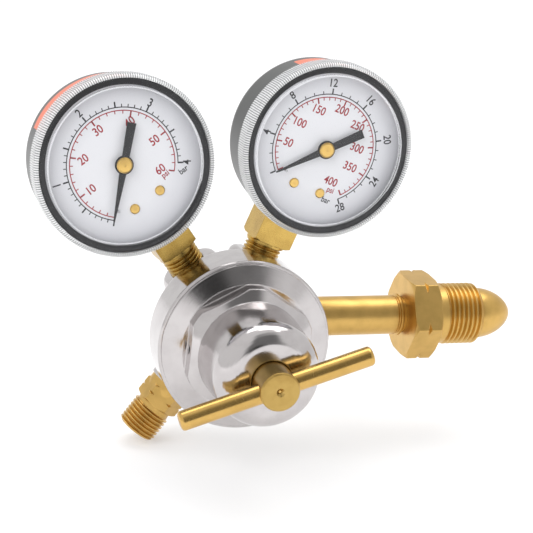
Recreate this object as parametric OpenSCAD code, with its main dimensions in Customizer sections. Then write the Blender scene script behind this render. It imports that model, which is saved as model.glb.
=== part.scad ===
// Liquefied petroleum gas regulator with two pressure gauges, millimetres.
// The regulator axis runs along Y with the handle at the front (-Y), the
// inlet leaves along +X and the gauges stand up. The origin lies on the
// inlet axis, half way along the inlet nut's thread.

/* [Body] */
// Radius of the round front part of the body
disc_r = 29.6; // [28.5:0.1:32]
// How far the front face lies ahead of the port plane
disc_front = 29.6; // [28:0.1:32]
// How far the back of the round part lies ahead of the port plane
disc_back = 13.3; // [12.5:0.1:14.2]
// Radius of the hub behind the round part
hub_r = 21; // [20:0.5:23]
// How far the hub reaches behind the port plane
hub_back = 13.5; // [12:0.5:16]
// Rounding of the body's rims
rim_round = 1.4; // [0.8:0.1:1.8]
// Radius of the round bosses under the gauges
boss_r = 10.6; // [10:0.05:11.5]
// Rounding of the faces of those bosses
boss_round = 2.5; // [1:0.1:3]
// Radius of the outlet and inlet bosses
side_boss_r = 8.4; // [8:0.05:9.5]
// Radius of the taper threads where they enter the body
port_r = 6.5; // [6.2:0.05:6.8]
// How far each port ends inside the wall of the low pressure chamber
port_inset = 4.9; // [4:0.1:5.2]

/* [Bonnet] */
// Radius of the bonnet's flange
flange_r = 28.6; // [27:0.1:29.4]
// Thickness of the flange at its edge
flange_t = 0.5; // [0.3:0.1:1]
// Radius of the bonnet's thread in the body
bonnet_thread_r = 25.4; // [24.5:0.1:26]
// Width of the bonnet's hexagon across its flats
bonnet_af = 40.7; // [39:0.1:42]
// Radius at which the corners of that hexagon are turned off
bonnet_corner_r = 22.15; // [21.2:0.05:23]
// Length of the hexagon along the axis
bonnet_hex_h = 4.7; // [3.5:0.1:6]
// Height of the cone between flange and hexagon
bonnet_cone_h = 1.5; // [1:0.1:2]
// Height of the cone in front of the hexagon
shoulder_h = 2.2; // [1.5:0.1:3]
// Radius of the spring housing where it meets the hexagon
dome_r = 18.3; // [17.8:0.1:19]
// Radius of the spring housing at its nose
nose_r = 17.5; // [17:0.1:18]
// Rounding of the nose
nose_round = 6.5; // [5:0.5:8]
// How far the nose lies ahead of the port plane
nose_front = 62.3; // [60:0.1:65]
// Radius of the spring chamber
chamber_r = 14.5; // [14:0.1:15]
// Thickness of the nose around the adjusting screw
nose_wall = 7.9; // [6:0.1:9]
// Radius of the vent hole in one flat of the hexagon
vent_r = 1.45; // [1:0.05:2]
// Turn of the hexagon's first corner above the inlet side, degrees
bonnet_turn = 27.3; // [0:0.1:60]

/* [Adjusting screw] */
// Radius of the adjusting screw
screw_r = 6.35; // [6:0.05:6.5]
// How far the screw stands out of the nose
screw_out = 10.1; // [9.6:0.1:14]
// Radius of the cross bar
bar_r = 3.175; // [2.5:0.005:3.4]
// Length of the cross bar
bar_len = 64; // [50:1:80]
// Distance from the screw's outer face to the bar's axis
bar_inset = 4.1; // [4:0.1:5]
// Tilt of the cross bar, degrees
bar_tilt = 18; // [-90:1:90]
// Distance from the nose's inner face to the spring button
button_play = 8.2; // [7.9:0.1:9]
// Thickness of the spring button's rim
button_t = 4.4; // [3.5:0.1:5]
// Radius of the spring button
button_r = 13.6; // [13:0.1:13.8]

/* [Pressure spring and diaphragm] */
// Wire radius of the pressure spring
spring_wire_r = 1.5; // [1:0.1:1.8]
// Radius of the pressure spring to the middle of its wire
spring_r = 10.4; // [9.5:0.1:11]
// Number of turns of the pressure spring
spring_turns = 4.5; // [3.5:0.5:5]
// Thickness of the diaphragm
diaphragm_t = 1; // [0.6:0.1:1.4]
// Thickness of the slip ring
slip_t = 0.8; // [0.5:0.1:1]
// Distance from the port plane to the diaphragm seat
seat_y = 20; // [19.6:0.1:20.5]
// Width of the land that the diaphragm's rim lies on
land_w = 4.9; // [4:0.1:6]
// Distance from the port plane to the floor of that chamber
low_floor = 15.5; // [15.2:0.1:16.2]
// Radius of the diaphragm plate
plate_r = 15; // [14:0.1:16]
// Thickness of the diaphragm plate
plate_t = 3; // [2.5:0.1:3.5]
// Radius of the stud that passes the diaphragm
stud_r = 2.5; // [2:0.1:3]

/* [Valve] */
// Width of the nozzle's hexagon across its flats
nozzle_af = 14.3; // [13.5:0.1:16]
// Height of the nozzle's hexagon
nozzle_head = 1.8; // [1.5:0.1:2]
// Radius of the gas hole through the nozzle
nozzle_hole_r = 1.7; // [1.5:0.05:2]
// Radius of the valve pin
pin_r = 1.2; // [0.9:0.05:1.3]
// Radius of the poppet
poppet_r = 4.2; // [3.8:0.1:4.6]
// Length of the poppet
poppet_len = 6; // [5:0.1:7]
// Radius of the high pressure chamber
high_r = 5.5; // [5:0.1:5.8]
// How far that chamber reaches behind the port plane
high_back = 8; // [7:0.1:9]

/* [Inlet] */
// Radius of the inlet tube
tube_r = 7.14; // [6.8:0.01:7.5]
// Radius of the gas way through the tube
tube_bore = 3.2; // [2.5:0.1:4]
// Distance from the regulator axis to the inlet boss's face
inlet_boss = 27; // [26:0.1:28]
// Distance from the regulator axis to the end of the full tube
tube_end = 64.3; // [62:0.1:65]
// Radius of the neck that the nut turns on
neck_r = 6.52; // [6:0.01:6.7]
// Distance from the regulator axis to the back of the nut's hexagon
nut_back = 67.4; // [66.6:0.1:72]
// Length of the nut's hexagon
nut_hex_h = 10.6; // [9:0.1:13]
// Width of the nut's hexagon across its flats
nut_af = 28.575; // [27:0.005:30]
// Length of the plain part between hexagon and thread
nut_plain = 4.5; // [3:0.1:6]
// Length of the nut's thread
nut_thread = 12.4; // [11:0.1:15]
// Radius of the nut's thread
nut_thread_r = 11.24; // [11:0.01:11.5]
// Length of the chamfer at the end of the thread
nut_chamfer = 1.4; // [1:0.1:2]
// Radius of the bullet nose at its base
bullet_r = 9.3; // [8.8:0.05:9.6]
// Length of the bullet nose
bullet_len = 13.8; // [12:0.1:16]
// Turn of the nut about the inlet axis, degrees
nut_turn = 33.4; // [0:0.1:60]
// Radius of the bead at the end of the full tube
bead_r = 7.65; // [7.3:0.05:8]
// Outer radius of the inlet filter
filter_r = 4.4; // [3.8:0.1:4.8]

/* [Outlet] */
// Angle of the outlet, from straight up towards the inlet, degrees
outlet_angle = -143.7; // [-150:0.1:-120]
// Distance from the regulator axis to the outlet boss's face
outlet_boss = 29.8; // [29:0.1:31]
// Radius of the outlet fitting's collar
collar_r = 7.6; // [7.2:0.1:7.9]
// Length of that collar
collar_h = 2.2; // [1.5:0.1:5]
// Length of the outlet hexagon
outlet_hex_h = 7; // [5:0.1:9]
// Width of the outlet hexagon across its flats
outlet_af = 14.29; // [14:0.005:15.9]
// Length of the undercut behind the outlet thread
outlet_neck = 2; // [1:0.1:2.5]
// Length of the outlet thread
outlet_thread = 9.5; // [8:0.1:14]
// Radius of the outlet thread
outlet_thread_r = 7.14; // [6.9:0.01:7.4]
// Turn of the outlet hexagon, degrees
outlet_turn = 20; // [0:1:60]

/* [Gauges] */
// How far the gauge stems lie ahead of the port plane
stem_y = 6; // [5.5:0.1:6.3]
// Angle of the left gauge, from straight up towards the inlet, degrees
left_angle = -36.2; // [-45:0.1:-34]
// Angle of the right gauge, degrees
right_angle = 21.2; // [19:0.1:30]
// Distance from the regulator axis to the left dial's centre
left_reach = 72.7; // [71:0.1:80]
// Distance from the regulator axis to the right dial's centre
right_reach = 70.4; // [69:0.1:80]
// Twist of the left gauge about its stem, degrees
left_twist = 5.8; // [-10:0.1:10]
// Twist of the right gauge about its stem, degrees
right_twist = 2.8; // [-10:0.1:10]
// Distance from the regulator axis to the left port boss's face
left_boss = 27; // [26:0.1:28.5]
// Distance from the regulator axis to the right port boss's face
right_boss = 27; // [26:0.1:28]
// Length of thread left showing under the left gauge's square
left_gap = 7.2; // [4:0.1:8]
// Length of thread left showing under the right gauge's square
right_gap = 5.4; // [4:0.1:8]
// Width of the square on the gauge socket
socket_w = 13.6; // [12.7:0.1:14.2]
// Outer radius of the gauge case
case_r = 28.2; // [27.5:0.1:29]
// Wall of the gauge case
case_wall = 0.7; // [0.5:0.05:1]
// Rounding at the back of the case
case_round = 5; // [2:0.5:6]
// Distance from the stem's axis to the dial's face
dial_y = 13.2; // [13:0.1:15]
// Wall of the lens's knurled skirt
skirt_wall = 1.68; // [1.2:0.02:2.4]
// Thickness of the lens
lens_t = 1.8; // [1.2:0.1:2.5]
// Distance from the dial's face to the lens's inner face
lens_gap = 3.6; // [3.4:0.1:5]
// Length of the lens's skirt
lens_skirt = 9; // [7:0.1:12]
// Width of the black ring round the dial
ring_w = 2.15; // [1.4:0.05:3]
// Depth of that ring
ring_t = 1.8; // [1:0.1:2.2]

/* [Gauge movement] */
// Distance from the outside of the case in to the sector's pivot
pivot_room = 13.8; // [13.2:0.1:15]
// Number of teeth on the pinion
pinion_teeth = 12; // [12:1:12]
// Number of teeth that a full sector wheel would have
sector_teeth = 108; // [108:1:108]
// Radius of the curved pressure tube to its middle
bourdon_r = 21; // [20:0.1:22]
// Thickness of that tube across its flat section
bourdon_t = 2.4; // [1.8:0.1:2.8]
// Width of that tube's flat section
bourdon_w = 9; // [7:0.1:10]
// Distance from the dial's centre to the pointer's tip
pointer_len = 18.7; // [17:0.1:20]
// Distance from the dial's centre to the end of the pointer's tail
tail_len = 13.8; // [8:0.1:15]
// Radius of the round part in the pointer's middle
pointer_hub_r = 3.1; // [2.4:0.1:3.6]
// Radius of the cap on that round part
pointer_boss_r = 2.6; // [2:0.05:3]
// Height of the dial's fixing screws below the dial's centre
screw_drop = 14.4; // [12:0.1:16]

/* [Clearances] */
// Radial clearance of pieces that turn or slide in each other
running = 0.08; // [0.02:0.01:0.1]
// Radial clearance of screwed pieces
screwed = 0.05; // [0.02:0.01:0.1]
// Gap between pieces that meet but don't move together
seat_gap = 0.02; // [0:0.01:0.05]

/* [Hidden] */
$fn = 96;
eps = 0.01;

// Colours
chrome = [0.80, 0.79, 0.80];
brass = [0.80, 0.62, 0.25];
dark_brass = [0.62, 0.46, 0.16];
pink_brass = [0.78, 0.56, 0.36];
steel = [0.62, 0.63, 0.65];
rubber = [0.10, 0.10, 0.10];
clear = [0.90, 0.93, 0.95, 0.35];
white = [0.94, 0.94, 0.95];
black = [0.04, 0.04, 0.04];
charcoal = [0.16, 0.17, 0.16];

// Places along the inlet axis
nut_front = nut_back + nut_hex_h;
thread_start = nut_front + nut_plain;
thread_end = thread_start + nut_thread;
nut_end = thread_end + nut_chamfer;
bead_back = tube_end + 0.4;
bead_front = bead_back + 1.3;
bullet_base = nut_end + 0.2;
inlet_ref = (thread_start + thread_end) / 2;

// Low pressure chamber and the inner ends of the ports
low_r = bonnet_thread_r - land_w;
port_floor = low_r - port_inset;

// Places along the regulator axis, from the diaphragm forwards
diaphragm_front = seat_y + diaphragm_t;
bonnet_end = diaphragm_front + slip_t;
plate_front = diaphragm_front + plate_t;
hex_back = disc_front + flange_t + bonnet_cone_h;
hex_front = hex_back + bonnet_hex_h;
dome_back = hex_front + shoulder_h;
chamber_front = nose_front - nose_wall;
button_front = chamber_front - button_play;
button_back = button_front - button_t;
screw_front = nose_front + screw_out;
bar_y = screw_front - bar_inset;
screw_tip = button_front + 1.1;

// Places along the regulator axis inside the valve
nozzle_front = low_floor + nozzle_head;
nozzle_back = 9.2;
nozzle_bore_end = 9;
stud_end = nozzle_front + 1.3;
seat_t = 1.6;
seat_r = 3.4;
poppet_front = nozzle_back - 1;
poppet_back = poppet_front - poppet_len;

// Places inside a gauge, measured forwards from the stem's axis
dial_t = 0.4;
lens_r = case_r + skirt_wall + seat_gap;
ring_inner_r = case_r - ring_w;
lens_inner = dial_y + lens_gap;
lens_front = lens_inner + lens_t;
lens_back = lens_front - lens_skirt;
case_front = lens_inner - ring_t;
plate_gauge = 1;
front_plate_y = dial_y - dial_t;
back_plate_y = socket_w / 2 + plate_gauge + 0.02;
case_inner_back = -socket_w / 2 - 0.03;
case_back = case_inner_back - case_wall;
sector_front = 10.6;
sector_t = 0.7;
link_front = 9.6;
link_t = 0.5;
pointer_y = dial_y + 1.5;
pivot_drop = case_r - pivot_room;
tooth_module = 2 * pivot_drop / (pinion_teeth + sector_teeth);
pinion_r = tooth_module * pinion_teeth / 2;
sector_r = tooth_module * sector_teeth / 2;
arbor_r = 0.8;
tail_r = 6.5;
tail_angle = -15;
tip_angle = -20;
link_pin_r = 0.5;
tail_pin = [tail_r * cos(tail_angle), tail_r * sin(tail_angle) - pivot_drop];
tip_pin = [bourdon_r * cos(tip_angle), bourdon_r * sin(tip_angle)];
zero_angle = -135;

// Turns a profile drawn as [radius, distance ahead] about the regulator axis
module turned(points) {
    rotate([90, 0, 0])
        rotate_extrude()
            polygon(points);
}

// Round bar on the regulator axis, between two distances ahead
module bar(r, back, front) {
    translate([0, -back, 0])
        rotate([90, 0, 0])
            cylinder(r = r, h = front - back);
}

// Puts a piece drawn along Z onto a port at an angle from straight up
module port(angle, ahead = 0) {
    translate([0, -ahead, 0])
        rotate([0, angle, 0])
            children();
}

// Flat piece drawn in the dial's plane, between two distances ahead
module layer(back, front) {
    translate([0, -back, 0])
        rotate([90, 0, 0])
            linear_extrude(front - back)
                children();
}

// Quarter round as points about a centre, from one angle to another
function arc(cx, cy, r, from, to, steps = 6) =
    [for (i = [0:steps]) let (a = from + (to - from) * i / steps) [cx + r * cos(a), cy + r * sin(a)]];

// Round wire swept along a helix about the regulator axis, with closed ends
function helix_point(r, back, front, turns, t) =
    [r * cos(360 * turns * t), -(back + (front - back) * t), r * sin(360 * turns * t)];

module coil(r, wire, back, front, turns, rings_per_turn = 16, sides = 8) {
    rings = round(turns * rings_per_turn);
    points = [
        for (i = [0:rings])
            let (a = 360 * turns * i / rings, c = helix_point(r, back + wire, front - wire, turns, i / rings))
                for (j = [0:sides - 1])
                    let (b = 360 * j / sides)
                        [c[0] + wire * cos(b) * cos(a), c[1] + wire * sin(b), c[2] + wire * cos(b) * sin(a)]
    ];
    walls = [
        for (i = [0:rings - 1])
            for (j = [0:sides - 1])
                let (k = (j + 1) % sides)
                    [i * sides + j, (i + 1) * sides + j, (i + 1) * sides + k, i * sides + k]
    ];
    first = [for (j = [0:sides - 1]) j];
    last = [for (j = [sides - 1:-1:0]) rings * sides + j];
    polyhedron(points, concat([first], walls, [last]), convexity = 10);
}

// Hexagon along Z with its corners turned off at both faces
module hexagon(af, h, turn, corner, chamfer) {
    intersection() {
        rotate([0, 0, turn])
            cylinder(d = af / cos(30), h = h, $fn = 6);
        rotate_extrude()
            polygon([
                [0, 0], [corner - chamfer * 1.7, 0], [corner, chamfer],
                [corner, h - chamfer], [corner - chamfer * 1.7, h], [0, h]
            ]);
    }
}

// V groove turned into the corners of a hexagon, the mark of a left-hand thread
module left_hand_groove(af, at, depth) {
    corner = af / 2 / cos(30);
    translate([0, 0, at])
        rotate_extrude()
            polygon([
                [corner - depth, 0], [corner + depth, -1.2 * depth], [corner + depth, 1.2 * depth]
            ]);
}

module body() {
    color(chrome)
        difference() {
            union() {
                turned(concat(
                    [[0, -hub_back]],
                    arc(hub_r - 3, 3 - hub_back, 3, -90, 0),
                    [[hub_r, disc_back - 2]],
                    [[hub_r + 2, disc_back]],
                    arc(disc_r - rim_round, disc_back + rim_round, rim_round, -90, 0),
                    [[disc_r, disc_front - 0.6], [disc_r - 0.6, disc_front], [0, disc_front]]
                ));
                port(left_angle, stem_y) gauge_boss(left_boss);
                port(right_angle, stem_y) gauge_boss(right_boss);
                port(outlet_angle) cylinder(r = side_boss_r, h = outlet_boss);
                port(90) cylinder(r = side_boss_r + 1.35, h = inlet_boss);
            }
            bar(bonnet_thread_r, seat_y, disc_front + 1);
            bar(low_r, low_floor, seat_y + 1);
            bar(port_r, nozzle_bore_end, low_floor + 1);
            bar(high_r, -high_back, nozzle_bore_end + 1);
            port_bore(left_angle, stem_y, left_boss);
            port_bore(right_angle, stem_y, right_boss);
            port_bore(outlet_angle, 0, outlet_boss);
            port_bore(90, 0, inlet_boss);
            port(90) cylinder(r = 3.5, h = port_floor + 1);
            port(right_angle, stem_y) cylinder(r = 1.5, h = port_floor + 1);
            low_passage(left_angle, stem_y + 2);
            low_passage(outlet_angle, 2);
        }
}

// Round boss with a rounded face, under a gauge
module gauge_boss(face) {
    rotate_extrude()
        polygon(concat(
            [[0, 0], [boss_r, 0]],
            arc(boss_r - boss_round, face - boss_round, boss_round, 0, 90),
            [[0, face]]
        ));
}

// Bore for a taper thread
module port_bore(angle, ahead, face) {
    port(angle, ahead)
        translate([0, 0, port_floor])
            cylinder(r = port_r, h = face - port_floor + 1);
}

// Drilling from the low pressure chamber back into a port
drill_r = 1.6;

module low_passage(angle, to) {
    rotate([0, angle, 0])
        translate([0, 0, low_r - 2 * drill_r])
            bar(drill_r, to, low_floor + 1);
}

module bonnet() {
    color(chrome)
        difference() {
            union() {
                turned(concat(
                    [
                        [0, bonnet_end], [bonnet_thread_r - screwed, bonnet_end],
                        [bonnet_thread_r - screwed, disc_front], [flange_r, disc_front],
                        [flange_r, disc_front + flange_t], [bonnet_corner_r, hex_back],
                        [dome_r, hex_back], [dome_r, dome_back]
                    ],
                    arc(nose_r - nose_round, nose_front - nose_round, nose_round, 0, 90, 10),
                    [[0, nose_front]]
                ));
                translate([0, -hex_back, 0])
                    rotate([90, 0, 0])
                        bonnet_hexagon();
            }
            turned([
                [0, bonnet_end - 1], [low_r, bonnet_end - 1], [low_r, bonnet_end + 1.5],
                [chamber_r, bonnet_end + 8], [chamber_r, chamber_front], [0, chamber_front]
            ]);
            bar(screw_r + running, chamber_front - 1, nose_front + 1);
            turned([
                [0, nose_front - 0.5], [screw_r + running, nose_front - 0.5],
                [screw_r + running + 0.6, nose_front + 0.1], [0, nose_front + 0.1]
            ]);
            translate([0, -(hex_back + bonnet_hex_h / 2), 0])
                rotate([0, -90 - bonnet_turn + 30, 0])
                    cylinder(r = vent_r, h = bonnet_corner_r + 1);
        }
}

module bonnet_hexagon() {
    intersection() {
        rotate([0, 0, bonnet_turn])
            cylinder(d = bonnet_af / cos(30), h = bonnet_hex_h + shoulder_h, $fn = 6);
        rotate_extrude()
            polygon([
                [0, 0], [bonnet_corner_r, 0], [bonnet_corner_r, bonnet_hex_h],
                [dome_r, bonnet_hex_h + shoulder_h], [0, bonnet_hex_h + shoulder_h]
            ]);
    }
}

module adjusting_screw() {
    color(dark_brass)
        difference() {
            turned([
                [0, screw_tip], [2.2, screw_tip], [4.4, screw_tip + 2.2], [4.4, button_front + 5],
                [screw_r, button_front + 6.5], [screw_r, screw_front - 0.5],
                [screw_r - 0.5, screw_front], [0, screw_front]
            ]);
            translate([0, -bar_y, 0])
                rotate([0, 90 - bar_tilt, 0])
                    cylinder(r = bar_r + seat_gap, h = 4 * screw_r, center = true);
            turned([
                [0, screw_front - 1.3], [1.4, screw_front],
                [1.4, screw_front + 1], [0, screw_front + 1]
            ]);
        }
}

module cross_bar() {
    color(brass)
        translate([0, -bar_y, 0])
            rotate([0, 90 - bar_tilt, 0])
                rotate_extrude()
                    polygon(concat(
                        [[0, -bar_len / 2]],
                        arc(bar_r - 1.2, 1.2 - bar_len / 2, 1.2, -90, 0, 4),
                        arc(bar_r - 1.2, bar_len / 2 - 1.2, 1.2, 0, 90, 4),
                        [[0, bar_len / 2]]
                    ));
}

module spring_button() {
    color(steel)
        turned([
            [0, button_back - 4], [spring_r - spring_wire_r - 1.6, button_back - 4],
            [spring_r - spring_wire_r - 0.6, button_back - 3], [spring_r - spring_wire_r - 0.6, button_back],
            [button_r, button_back], [button_r, button_front - 1],
            [button_r - 1, button_front], [4.6, button_front], [2.3, screw_tip - 0.1], [0, screw_tip - 0.1]
        ]);
}

module pressure_spring() {
    color(steel)
        coil(spring_r, spring_wire_r, plate_front + seat_gap, button_back - seat_gap, spring_turns);
}

module diaphragm_plate() {
    color(brass)
        turned([
            [0, stud_end], [stud_r, stud_end], [stud_r, diaphragm_front + seat_gap],
            [plate_r, diaphragm_front + seat_gap], [plate_r, plate_front - 0.8], [plate_r - 0.8, plate_front],
            [spring_r - spring_wire_r - 0.6, plate_front],
            [spring_r - spring_wire_r - 0.6, plate_front + 2.5],
            [spring_r - spring_wire_r - 1.6, plate_front + 3.5], [0, plate_front + 3.5]
        ]);
}

module slip_ring() {
    color(steel)
        turned([
            [low_r, diaphragm_front], [bonnet_thread_r - 0.2, diaphragm_front],
            [bonnet_thread_r - 0.2, bonnet_end], [low_r, bonnet_end]
        ]);
}

module diaphragm() {
    color(rubber)
        turned([
            [stud_r + running, seat_y], [bonnet_thread_r - 0.2, seat_y],
            [bonnet_thread_r - 0.2, diaphragm_front], [stud_r + running, diaphragm_front]
        ]);
}

module nozzle() {
    color(brass)
        difference() {
            union() {
                bar(port_r - screwed, nozzle_back + 1, low_floor + 0.5);
                turned([
                    [0, nozzle_back], [2.6, nozzle_back], [3.4, nozzle_back + 1], [0, nozzle_back + 1]
                ]);
                translate([0, -low_floor, 0])
                    rotate([90, 0, 0])
                        hexagon(nozzle_af, nozzle_head, 0, nozzle_af / 2 / cos(30), 0.3);
            }
            bar(nozzle_hole_r, nozzle_back - 1, nozzle_front + 1);
        }
}

module seat_disc() {
    color(rubber)
        turned([
            [pin_r + seat_gap, nozzle_back - seat_gap - seat_t], [seat_r, nozzle_back - seat_gap - seat_t],
            [seat_r, nozzle_back - seat_gap], [pin_r + seat_gap, nozzle_back - seat_gap]
        ]);
}

module poppet() {
    color(brass)
        difference() {
            bar(poppet_r, poppet_back, poppet_front);
            bar(seat_r + seat_gap, nozzle_back - 2 * seat_gap - seat_t, poppet_front + 1);
            bar(pin_r + seat_gap, poppet_front - 4, poppet_front + 1);
        }
}

module valve_pin() {
    color(steel)
        bar(pin_r, poppet_front - 4 + seat_gap, stud_end - seat_gap);
}

module valve_spring() {
    color(steel)
        coil(3.1, 0.4, -high_back + seat_gap, poppet_back - seat_gap, 5, 12, 6);
}

// Gas way into the tube, with a seat for the filter at the body's end
filter_len = 8;

module inlet_filter() {
    color(pink_brass)
        port(90)
            translate([0, 0, port_floor + 0.4])
                difference() {
                    cylinder(r = filter_r, h = filter_len);
                    translate([0, 0, -1])
                        cylinder(r = filter_r - 1.4, h = filter_len - 0.6);
                }
}

module inlet_nipple() {
    color(brass)
        port(90)
            difference() {
                union() {
                    translate([0, 0, port_floor + 0.2])
                        cylinder(r = port_r - screwed, h = inlet_boss - port_floor);
                    rotate_extrude()
                        polygon([
                            [0, inlet_boss + 0.1], [tube_r, inlet_boss + 0.1], [tube_r, tube_end - 0.4],
                            [tube_r - 0.4, tube_end], [tube_r - 0.4, bead_back], [bead_r, bead_back + 0.2],
                            [bead_r, bead_front - 0.4], [bead_r - 0.4, bead_front],
                            [neck_r, bead_front], [neck_r, bullet_base], [0, bullet_base]
                        ]);
                    rotate_extrude()
                        polygon(bullet_outline());
                }
                translate([0, 0, port_floor])
                    cylinder(r = filter_r + seat_gap, h = filter_len + 0.4);
                translate([0, 0, port_floor])
                    cylinder(r = tube_bore, h = bullet_base - port_floor);
                translate([0, 0, bullet_base - 1])
                    cylinder(r = bullet_mouth_r, h = bullet_len + 2);
            }
}

// Bullet nose: a blunt ogive with a small mouth at its tip
bullet_mouth_r = 1.9;
bullet_fullness = 1.8;
bullet_steps = 16;
bullet_shoulder = 0.6;

function bullet_outline() =
    concat(
        [[0, bullet_base], [bullet_r, bullet_base]],
        [
            for (i = [0:bullet_steps])
                let (t = i / bullet_steps)
                    [
                        bullet_r * pow(1 - pow(t, bullet_fullness), 1 / bullet_fullness),
                        bullet_base + bullet_shoulder + (bullet_len - bullet_shoulder) * t
                    ]
        ]
    );

module inlet_nut() {
    color(brass)
        port(90)
            difference() {
                union() {
                    translate([0, 0, nut_back])
                        hexagon(nut_af, nut_hex_h, nut_turn, nut_af / 2 / cos(30) - 0.1, 1);
                    rotate_extrude()
                        polygon([
                            [0, nut_back + 0.5], [nut_thread_r - 0.3, nut_back + 0.5],
                            [nut_thread_r - 0.3, thread_start],
                            [nut_thread_r, thread_start], [nut_thread_r, thread_end],
                            [nut_thread_r - nut_chamfer, nut_end], [0, nut_end]
                        ]);
                }
                translate([0, 0, nut_back - 1])
                    cylinder(r = neck_r + running, h = nut_end);
                left_hand_groove(nut_af, nut_back + nut_hex_h / 2, 1.35);
            }
}

module outlet_fitting() {
    hex_start = outlet_boss + collar_h;
    neck_start = hex_start + outlet_hex_h;
    start = neck_start + outlet_neck;
    end = start + outlet_thread;
    color(brass)
        port(outlet_angle)
            difference() {
                union() {
                    translate([0, 0, port_floor + 0.2])
                        cylinder(r = port_r - screwed, h = outlet_boss - port_floor);
                    rotate_extrude()
                        polygon([
                            [0, outlet_boss + 0.02], [collar_r, outlet_boss + 0.02], [collar_r, hex_start],
                            [outlet_thread_r - 0.8, neck_start], [outlet_thread_r - 0.8, start],
                            [outlet_thread_r, start], [outlet_thread_r, end - 0.8],
                            [outlet_thread_r - 0.8, end], [0, end]
                        ]);
                    translate([0, 0, hex_start])
                        hexagon(outlet_af, outlet_hex_h, outlet_turn, outlet_af / 2 / cos(30) - 0.1, 0.6);
                }
                cylinder(r = tube_bore, h = end + 1);
                translate([0, 0, end - 2.6])
                    cylinder(r1 = tube_bore - eps, r2 = tube_bore + 2.6, h = 2.6 + eps);
                left_hand_groove(outlet_af, hex_start + outlet_hex_h / 2, 0.75);
            }
}

// Gauge pieces are drawn with the stem's axis along Z from the regulator's
// axis, and the dial facing forwards. A gauge is a list of its own values:
// angle, reach, twist, the face of its port boss and the length of thread.
function gauge(side) =
    side == "left" ? [left_angle, left_reach, left_twist, left_boss, left_gap]
                   : [right_angle, right_reach, right_twist, right_boss, right_gap];
function reach(side) = gauge(side)[1];

module on_stem(side) {
    port(gauge(side)[0], stem_y)
        rotate([0, 0, gauge(side)[2]])
            children();
}

module on_dial(side) {
    on_stem(side)
        translate([0, 0, reach(side)])
            children();
}

// Height of the round shoulder under the socket's square
shoulder_ring = 0.9;

module socket(side) {
    boss = gauge(side)[3];
    bottom = boss + gauge(side)[4];
    top = reach(side) - bourdon_r + 3;
    color(dark_brass)
        on_stem(side)
            difference() {
                union() {
                    translate([0, 0, port_floor + 0.3])
                        cylinder(r = port_r - screwed, h = bottom - port_floor);
                    translate([0, 0, bottom - shoulder_ring])
                        cylinder(r = socket_w / 2, h = 2 * shoulder_ring);
                    intersection() {
                        translate([-socket_w / 2, -socket_w / 2, bottom])
                            cube([socket_w, socket_w, top - bottom]);
                        rotate_extrude()
                            polygon([
                                [0, bottom], [socket_w * 0.6, bottom], [socket_w * 0.71, bottom + 0.8],
                                [socket_w * 0.71, top], [0, top]
                            ]);
                    }
                }
                translate([0, 0, port_floor])
                    cylinder(r = 1.6, h = reach(side) - bourdon_r - port_floor);
                translate([0, 0, reach(side)])
                    bourdon_ring(bourdon_t + 2 * seat_gap, bourdon_w + 2 * seat_gap, 170, 271);
            }
}

module gauge_case(side) {
    color(charcoal)
        on_dial(side)
            difference() {
                turned(concat(
                    [[0, case_back]],
                    arc(case_r - case_round, case_back + case_round, case_round, -90, 0),
                    [
                        [case_r, case_front], [case_r - case_wall, case_front],
                        [case_r - case_wall, case_inner_back + case_round]
                    ],
                    arc(case_r - case_round, case_back + case_round, case_round - case_wall, 0, -90),
                    [[0, case_inner_back]]
                ));
                translate([-socket_w / 2 - seat_gap, -socket_w / 2 - seat_gap, -case_r - 5])
                    cube([socket_w + 2 * seat_gap, socket_w + 2 * seat_gap, case_r / 2 + 5]);
            }
}

module lens(side) {
    color(clear)
        on_dial(side)
            turned([
                [0, lens_inner], [case_r + seat_gap, lens_inner], [case_r + seat_gap, lens_back],
                [lens_r, lens_back], [lens_r, lens_front - 0.8], [lens_r - 0.8, lens_front], [0, lens_front]
            ]);
}

module black_ring(side) {
    color(black)
        on_dial(side)
            turned([
                [ring_inner_r, case_front], [case_r, case_front],
                [case_r, lens_inner], [ring_inner_r, lens_inner]
            ]);
}

module dial(side) {
    color(white)
        on_dial(side)
            layer(dial_y - dial_t, dial_y)
                difference() {
                    circle(r = case_r - case_wall - 0.1);
                    circle(r = 1.4);
                    for (x = [-1, 1])
                        translate([screw_x * x, screw_z])
                            circle(r = dial_screw_r + seat_gap);
                    stop_place()
                        circle(r = stop_r + seat_gap);
                }
}

// Screws that hold the dial on the movement's front plate
dial_screw_r = 0.8;
dial_screw_head_r = 1.65;
screw_x = 5.1;
screw_z = -screw_drop;

module dial_screws(side) {
    color(brass)
        on_dial(side)
            for (x = [-1, 1])
                translate([screw_x * x, 0, screw_z])
                    turned([
                        [0, front_plate_y - plate_gauge], [dial_screw_r, front_plate_y - plate_gauge],
                        [dial_screw_r, dial_y], [dial_screw_head_r, dial_y],
                        [dial_screw_head_r, dial_y + 0.25], [dial_screw_head_r - 0.3, dial_y + 0.5],
                        [0, dial_y + 0.55]
                    ]);
}

// Half widths of the pointer at its tip, where it leaves its hub, and at its tail
tip_half = 0.25;
root_half = 1.15;
tail_half = 1.5;
pointer_t = 0.3;

function pointer_half(r) =
    tip_half + (root_half - tip_half) * (pointer_len - r) / (pointer_len - pointer_hub_r);

// Pin just below the pointer's zero, further out than the pointer's tail
stop_r = 0.4;
stop_at = tail_len + 1.5;
stop_play = 0.15;
stop_turn = asin((pointer_half(stop_at) + stop_r + stop_play) / stop_at);

module stop_place() {
    rotate(90 - zero_angle + stop_turn)
        translate([stop_at, 0])
            children();
}

module stop_pin(side) {
    color(steel)
        on_dial(side)
            layer(front_plate_y, pointer_y + 0.4)
                stop_place()
                    circle(r = stop_r);
}

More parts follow.
